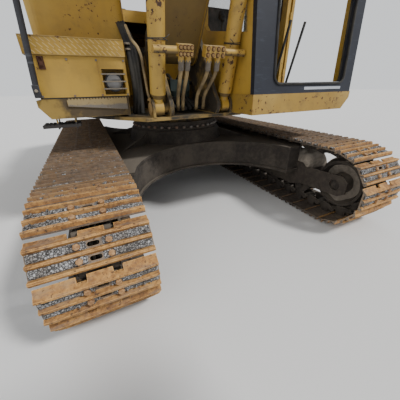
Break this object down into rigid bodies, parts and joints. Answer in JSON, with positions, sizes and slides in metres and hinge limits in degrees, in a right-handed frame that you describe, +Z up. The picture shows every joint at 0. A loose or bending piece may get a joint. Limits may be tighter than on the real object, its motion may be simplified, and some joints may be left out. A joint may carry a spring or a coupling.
{
  "type": "crawler excavator",
  "caption": "Full-size crawler excavator with slewing house, open cab, raised one-piece boom, stick, bucket and steel tracks; doors, lids and arm move.",
  "frame": {"origin": "on the ground under the middle of the machine's box, boom and tail included; the slew axis is 1.320 m behind it, at +Y", "axes": "+Z up, -Y to the machine's front, +X to its left, the cab's side"},
  "size_m": [3.1, 8.4406, 6.209],
  "materials": {
    "yellow_paint": "faded yellow paint, chipped and rusty",
    "black_paint": "worn dark paint",
    "track_iron": "dusty, muddy iron",
    "shoe_steel": "rusty steel with worn ribs",
    "bucket_steel": "worn, rusty steel",
    "rod_chrome": "polished",
    "engine_grey": "oily iron",
    "rusty_pipe": "rusty",
    "lamp_grey": "dull grey",
    "rail_brown": "worn dark paint",
    "motor_green": "oily grey green paint",
    "window_glass": "dusty glass",
    "seat_cover": "worn vinyl",
    "black_plastic": "matt"
  },
  "bodies": {
    "undercarriage": {"carbody": "track_iron", "slew_ring": "track_iron", "track_frame_l": "track_iron", "track_frame_r": "track_iron", "track_l": "shoe_steel", "track_r": "shoe_steel", "idlers": "track_iron", "sprockets": "track_iron", "final_drives": "track_iron", "rollers": "track_iron"},
    "house": {"deck": "yellow_paint", "cab_platform": "yellow_paint", "side_platform": "yellow_paint", "counterweight": "yellow_paint", "engine_block": "engine_grey", "engine_housing": "yellow_paint", "exhaust": "rusty_pipe", "air_cleaner": "black_paint", "fuel_tank": "yellow_paint", "hydraulic_tank": "yellow_paint", "toolbox": "yellow_paint", "work_lamp": "lamp_grey", "grab_rail": "rail_brown", "swing_motor": "motor_green", "cab_front": "black_paint", "cab_inner_side": "yellow_paint", "cab_outer_side": "yellow_paint", "cab_rear": "yellow_paint", "cab_roof": "yellow_paint", "cab_glass": "window_glass", "seat": "seat_cover", "controls": "black_plastic", "control_valve": "engine_grey"},
    "cab_door": {"cab_door": "yellow_paint", "door_glass": "window_glass"},
    "hood": {"hood": "yellow_paint"},
    "service_door_l": {"service_door_l": "yellow_paint"},
    "service_door_r": {"service_door_r": "yellow_paint"},
    "toolbox_lid": {"toolbox_lid": "yellow_paint"},
    "boom": {"boom": "yellow_paint"},
    "boom_cylinders": {"boom_cylinders": "yellow_paint"},
    "boom_rods": {"boom_rods": "rod_chrome"},
    "stick_cylinder": {"stick_cylinder": "yellow_paint"},
    "stick_rod": {"stick_rod": "rod_chrome"},
    "stick": {"stick": "yellow_paint"},
    "bucket_cylinder": {"bucket_cylinder": "yellow_paint"},
    "bucket_rod": {"bucket_rod": "rod_chrome"},
    "rocker": {"rocker": "yellow_paint"},
    "bucket_link": {"bucket_link": "yellow_paint"},
    "bucket": {"bucket": "bucket_steel"}
  },
  "joints": [
    {"name": "slew", "type": "hinge", "parent": "undercarriage", "child": "house", "pos_m": [0, 1.32035, 1], "axis": [0, 0, 1], "continuous": true},
    {"name": "boom", "type": "hinge", "parent": "house", "child": "boom", "pos_m": [-0.21, 0.62035, 1.72], "axis": [-1, 0, 0], "range_deg": [-68, 16]},
    {"name": "stick", "type": "hinge", "parent": "boom", "child": "stick", "pos_m": [-0.21, -3.19317, 5.32826], "axis": [1, 0, 0], "range_deg": [-100, 12]},
    {"name": "bucket", "type": "hinge", "parent": "stick", "child": "bucket", "pos_m": [-0.21, -3.67071, 2.62004], "axis": [1, 0, 0], "range_deg": [-95, 45]},
    {"name": "boom_cylinder_tilt", "type": "hinge", "parent": "house", "child": "boom_cylinders", "pos_m": [-0.21, 0.19035, 1.2], "axis": [-1, 0, 0], "range_deg": [-64.42, 15.54]},
    {"name": "boom_rod_slide", "type": "slide", "parent": "boom_cylinders", "child": "boom_rods", "axis": [0, -0.2504, 0.9681], "range_m": [-0.7517, 0.1799]},
    {"name": "stick_cylinder_tilt", "type": "hinge", "parent": "boom", "child": "stick_cylinder", "pos_m": [-0.21, -0.12593, 4.27775], "axis": [1, 0, 0], "range_deg": [-1, 0.56]},
    {"name": "stick_rod_slide", "type": "slide", "parent": "stick_cylinder", "child": "stick_rod", "axis": [0, -0.8727, 0.4883], "range_m": [-1.1908, 0.1464]},
    {"name": "bucket_cylinder_tilt", "type": "hinge", "parent": "stick", "child": "bucket_cylinder", "pos_m": [-0.21, -3.75851, 5.00146], "axis": [1, 0, 0], "range_deg": [-6.67, 3.43]},
    {"name": "bucket_rod_slide", "type": "slide", "parent": "bucket_cylinder", "child": "bucket_rod", "axis": [0, -0.1711, -0.9853], "range_m": [-0.6009, 0.2867]},
    {"name": "rocker_swing", "type": "hinge", "parent": "stick", "child": "rocker", "pos_m": [-0.21, -3.61747, 3.03713], "axis": [1, 0, 0], "range_deg": [-66.05, 31.55]},
    {"name": "bucket_link_swing", "type": "hinge", "parent": "rocker", "child": "bucket_link", "pos_m": [-0.21, -4.14535, 2.77361], "axis": [1, 0, 0], "range_deg": [-20.75, 43.25]},
    {"name": "cab_door", "type": "hinge", "parent": "house", "child": "cab_door", "pos_m": [1.4975, 0.84435, 1.36], "axis": [0, 0, -1], "range_deg": [0, 180]},
    {"name": "hood", "type": "hinge", "parent": "house", "child": "hood", "pos_m": [0, 3.41235, 2.28], "axis": [-1, 0, 0], "range_deg": [0, 70]},
    {"name": "service_door_l", "type": "hinge", "parent": "house", "child": "service_door_l", "pos_m": [1.459, 2.10035, 1.7], "axis": [0, 0, -1], "range_deg": [0, 110]},
    {"name": "service_door_r", "type": "hinge", "parent": "house", "child": "service_door_r", "pos_m": [-1.459, 2.10035, 1.7], "axis": [0, 0, 1], "range_deg": [0, 110]},
    {"name": "toolbox_lid", "type": "hinge", "parent": "house", "child": "toolbox_lid", "pos_m": [-1.1025, 0.71235, 1.7283], "axis": [-1, 0, 0], "range_deg": [0, 85]}
  ],
  "couplings": [
    {"joint": "boom_cylinder_tilt", "follows": "boom", "ratio": 0.94},
    {"joint": "boom_rod_slide", "follows": "boom", "m_per_rad": 0.63},
    {"joint": "stick_cylinder_tilt", "follows": "stick", "ratio": 0.005},
    {"joint": "stick_rod_slide", "follows": "stick", "m_per_rad": 0.68},
    {"joint": "bucket_cylinder_tilt", "follows": "bucket", "ratio": 0.065},
    {"joint": "bucket_rod_slide", "follows": "bucket", "m_per_rad": 0.36},
    {"joint": "rocker_swing", "follows": "bucket", "ratio": 0.69},
    {"joint": "bucket_link_swing", "follows": "bucket", "ratio": -0.45}
  ]
}
